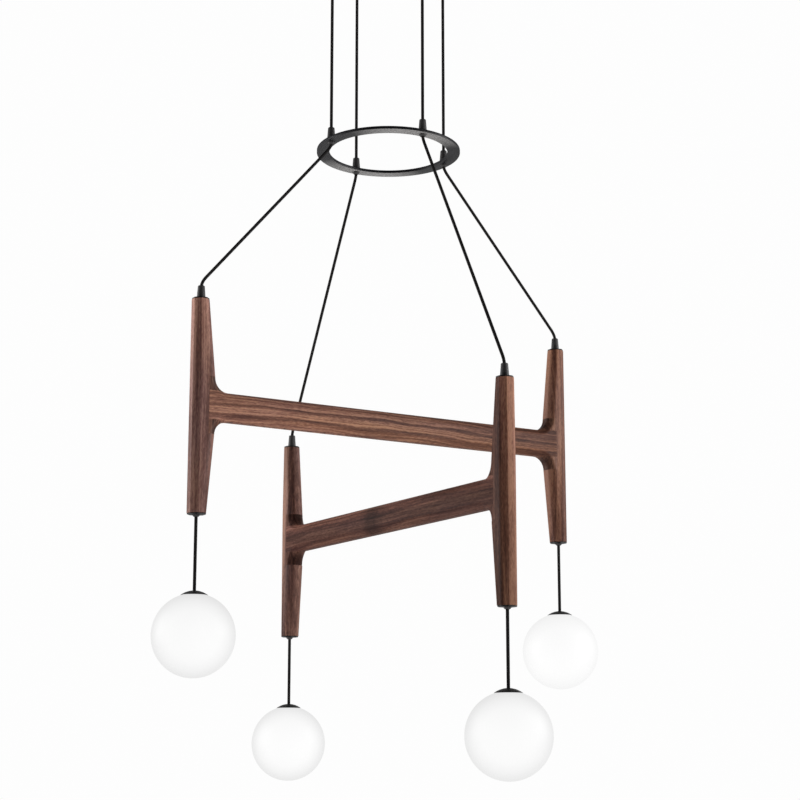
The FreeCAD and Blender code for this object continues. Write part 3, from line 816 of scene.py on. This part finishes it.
grip = rounded(
    [
        (CABLE_HOLE, 0.0093, 0),
        (TUBE_HOLE, 0.0093, 0),
        (TUBE_HOLE, 0.0, 0),
        (GRIP_RADIUS, 0.0, 0.0003),
        (0.0064, 0.0230, 0.0006),
        (0.0054, GRIP_HEIGHT, 0.0006),
        (CABLE_HOLE, GRIP_HEIGHT, 0.0003),
    ],
    0.0005,
)
ring_places = [at(side, GRIP_CIRCLE, RING_TOP) for side in SIDES]
add_turned("ring_grips_turned", grip, ring_places, FITTING, "ring", "ring_grips")
canopy_places = [at(side, GRIP_CIRCLE, CANOPY_FOOT) for side in SIDES]
add_turned("canopy_grips_turned", flipped(grip), canopy_places, FITTING, "canopy", "canopy_grips")

ring_nut = rounded(
    [
        (TUBE_HOLE, 0.0, 0),
        (NUT_RADIUS, 0.0, 0.0002),
        (NUT_RADIUS, -0.0017, 0.0006),
        (NUT_TIP, -0.0050, 0.0008),
        (CABLE_HOLE, -0.0050, 0.0003),
        (CABLE_HOLE, -0.0033, 0),
        (TUBE_HOLE, -0.0033, 0),
    ],
    0.0004,
)
nut_places = [at(side, GRIP_CIRCLE, RING_FOOT) for side in SIDES]
add_turned("ring_nuts_turned", ring_nut, nut_places, FITTING, "ring", "ring_nuts")

ring_profile = rounded(
    [(RING_INSIDE, -0.006), (RING_OUTSIDE, -0.006), (RING_OUTSIDE, 0.0), (RING_INSIDE, 0.0)],
    0.0009,
)
ring_place = [(0, 0, RING_TOP)]
add_turned("ring_turned", ring_profile, ring_place, RING, "ring", "suspension_ring", RING_SEGMENTS)

bush = rounded(
    [
        (TUBE_HOLE, 0.0, 0),
        (NUT_RADIUS, 0.0, 0.0002),
        (NUT_RADIUS, -0.0010, 0.0004),
        (NUT_TIP, -0.0042, 0.0006),
        (CABLE_HOLE, -0.0042, 0.0003),
        (CABLE_HOLE, -0.0023, 0),
        (TUBE_HOLE, -0.0023, 0),
    ],
    0.0004,
)
for name, sides in FRAMES.items():
    body = "frame_" + name
    places = [at(side, POST_AXIS, POST_TOP[name] + TOP_PLATE) for side in sides]
    add_turned(name + "_grips_turned", grip, places, FITTING, body, name + "_post_grips")
    places = [at(side, POST_AXIS, POST_FOOT[name] - BOTTOM_PLATE) for side in sides]
    add_turned(name + "_bushes_turned", bush, places, FITTING, body, name + "_bottom_bushes")


# Globes and caps, turned about each globe's centre

CAP_SEAT = GLOBE_RADIUS + 0.0003
CAP_RIM = 0.0245
CAP_EDGE = 0.0004
CAP_PEAK = 0.0797
SLEEVE_RADIUS = 0.0196
SLEEVE_INSIDE = SLEEVE_RADIUS - 0.0016
SLEEVE_FOOT = 0.060


def globe_profile():
    inside = GLOBE_RADIUS - GLASS_WALL
    outer = arc_points(GLOBE_RADIUS, math.asin(GLOBE_HOLE / GLOBE_RADIUS), math.pi, 64)
    inner = arc_points(inside, math.pi, math.asin(GLOBE_HOLE / inside), 64)
    return outer + inner


def cap_profile():
    """Shallow dome that hugs the glass and rises to the cable, with the sleeve below."""
    rim_foot = math.sqrt(CAP_SEAT ** 2 - CAP_RIM ** 2)
    rim_top = rim_foot + CAP_EDGE
    rise = CAP_PEAK - rim_top
    dome = (CAP_RIM ** 2 + rise ** 2) / (2 * rise)
    top_angle = math.asin(0.0050 / dome)
    rim_angle = math.asin((CAP_RIM - CAP_EDGE) / dome)
    seat_start, seat_end = math.asin((CAP_RIM - 0.0003) / CAP_SEAT), math.asin(SLEEVE_RADIUS / CAP_SEAT)
    return [
        (CABLE_HOLE, CAP_MOUTH),
        (0.0040, CAP_MOUTH),
        *arc_points(dome, top_angle, rim_angle, 14, CAP_PEAK - dome),
        (CAP_RIM - 0.0001, rim_top - 0.0001),
        (CAP_RIM, rim_top - 0.0003),
        (CAP_RIM - 0.0001, rim_foot + 0.0001),
        *arc_points(CAP_SEAT, seat_start, seat_end, 6),
        (SLEEVE_RADIUS, SLEEVE_FOOT),
        (SLEEVE_INSIDE, SLEEVE_FOOT),
        (SLEEVE_INSIDE, 0.0735),
        (CABLE_HOLE, 0.0759),
    ]


for name, sides in FRAMES.items():
    for side in sides:
        place = [at(side, POST_AXIS, HEART[name])]
        glass = PAINTED_BRIGHTER_RIM_GLASS if side == "right" else GLASS
        body, node = side + "_glass", side + "_globe"
        add_turned(side + "_opal_globe", globe_profile(), place, glass, body, node, GLOBE_SEGMENTS)
        body, node = side + "_lamp", side + "_globe_cap"
        add_turned(side + "_dome_cap", cap_profile(), place, COAT, body, node, CAP_SEGMENTS)


# Finishes of the solids that stay as they are

FINISH = {
    "canopy_cup": CANOPY,
    "ceiling_bracket": ZINC,
    "canopy_side_screws": COAT,
    "terminal_block": INSULATOR,
    "canopy_nipples": ZINC,
    "canopy_nuts": ZINC,
    "canopy_leads": CABLE,
    "ring_nipples": ZINC,
    "ring_leads": CABLE,
}
for name, sides in FRAMES.items():
    FINISH[name + "_dowels"] = BEECH
    FINISH[name + "_post_tubes"] = ZINC
    FINISH[name + "_top_plates"] = PLATE
    FINISH[name + "_bottom_plates"] = PLATE
    for side in sides:
        FINISH[side + "_lampholder"] = CERAMIC
        FINISH[side + "_bulb"] = FROST
for node, material in FINISH.items():
    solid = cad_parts[node]
    if not solid.material_slots:
        solid.data.materials.append(material)
    for slot in solid.material_slots:
        slot.material = material

# Width of their softened edges
PLATE_EDGE = 0.0006
EDGES = {"canopy_cup": 0.0006, "ceiling_bracket": 0.0004, "terminal_block": 0.0003}
for name in FRAMES:
    EDGES[name + "_top_plates"] = PLATE_EDGE
    EDGES[name + "_bottom_plates"] = PLATE_EDGE
for node, width in EDGES.items():
    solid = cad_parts[node]
    weld = solid.modifiers.new("weld", "WELD")
    weld.merge_threshold = WELD
    bevel = solid.modifiers.new("bevel", "BEVEL")
    bevel.width = width
    bevel.segments = 3
    bevel.limit_method = "ANGLE"
    bevel.angle_limit = math.radians(35)


# Studio: pale floor far below, white surround, soft lamps

FLOOR_HEIGHT = -2.75
FLOOR_RADIUS = 6.0
FLOOR_GLOW = 0.3
LAMP_TARGET = (0, 0, -1.1)
LAMP_SIZE = (1.8, 2.6)


def area_lamp(name, place, power):
    data = bpy.data.lights.new(name, "AREA")
    data.shape = "RECTANGLE"
    data.size, data.size_y = LAMP_SIZE
    data.energy = power
    lamp = bpy.data.objects.new(name, data)
    bpy.context.scene.collection.objects.link(lamp)
    lamp.location = place
    lamp.rotation_euler = (Vector(LAMP_TARGET) - Vector(place)).to_track_quat("-Z", "Y").to_euler()


floor_mesh = bpy.data.meshes.new("floor")
floor_work = bmesh.new()
bmesh.ops.create_circle(floor_work, cap_ends=True, segments=96, radius=FLOOR_RADIUS)
floor_work.to_mesh(floor_mesh)
floor_work.free()
floor = bpy.data.objects.new("floor", floor_mesh)
floor.location = (0, 0, FLOOR_HEIGHT)
bpy.context.scene.collection.objects.link(floor)
floor_look = plain_mottle("floor_paint", (0.86, 0.86, 0.855), (0.88, 0.88, 0.875), 0.7, 3.0, 0.0001)
floor_tree = floor_look.node_tree
floor_shader = floor_tree.nodes["Principled BSDF"]
floor_shader.inputs["Emission Color"].default_value = rgba(FLOOR_GLOW)
seen = floor_tree.nodes.new("ShaderNodeLightPath").outputs["Is Camera Ray"]
floor_tree.links.new(seen, floor_shader.inputs["Emission Strength"])
floor_mesh.materials.append(floor_look)

area_lamp("key", (3.0, -2.0, -0.4), 118.0)
area_lamp("fill", (-2.9, 2.0, -0.6), 92.0)


# Surround: white to the camera and behind the lamp, darker on the camera's side as in a studio

# Grey level of the surround by its direction, from the camera's side (0) to behind the lamp (1)
SURROUND_ENDS = (0.06, 0.97)
SURROUND_STOPS = ((0.30, 0.10), (0.55, 0.38), (0.85, 0.88))
GLOSSY_STRENGTH = 0.35
SEEN_WHITE = 0.985

world = bpy.data.worlds.new("studio")
bpy.context.scene.world = world
world.use_nodes = True
tree = world.node_tree
tree.nodes.clear()

direction = tree.nodes.new("ShaderNodeTexCoord").outputs["Generated"]
depth = tree.nodes.new("ShaderNodeVectorMath")
depth.operation = "DOT_PRODUCT"
tree.links.new(direction, depth.inputs[0])
depth.inputs[1].default_value = (math.sin(heading), math.cos(heading), 0)
share = tree.nodes.new("ShaderNodeMapRange")
share.inputs["From Min"].default_value = -1.0
tree.links.new(depth.outputs["Value"], share.inputs["Value"])
tone = tree.nodes.new("ShaderNodeValToRGB")
tree.links.new(share.outputs["Result"], tone.inputs["Fac"])
stops = tone.color_ramp.elements
stops[0].color, stops[1].color = rgba(SURROUND_ENDS[0]), rgba(SURROUND_ENDS[1])
for place, level in SURROUND_STOPS:
    stops.new(place).color = rgba(level)
path = tree.nodes.new("ShaderNodeLightPath")
around = tree.nodes.new("ShaderNodeBackground")
tree.links.new(tone.outputs["Color"], around.inputs["Color"])
ambient = tree.nodes.new("ShaderNodeMapRange")
ambient.inputs["To Min"].default_value = 1.0
ambient.inputs["To Max"].default_value = GLOSSY_STRENGTH
tree.links.new(path.outputs["Is Glossy Ray"], ambient.inputs["Value"])
tree.links.new(ambient.outputs["Result"], around.inputs["Strength"])
white = tree.nodes.new("ShaderNodeBackground")
white.inputs["Color"].default_value = rgba(SEEN_WHITE)
mixed = tree.nodes.new("ShaderNodeMixShader")
tree.links.new(path.outputs["Is Camera Ray"], mixed.inputs[0])
tree.links.new(around.outputs[0], mixed.inputs[1])
tree.links.new(white.outputs[0], mixed.inputs[2])
output = tree.nodes.new("ShaderNodeOutputWorld")
tree.links.new(mixed.outputs[0], output.inputs["Surface"])
bpy.context.scene.view_settings.view_transform = "Standard"
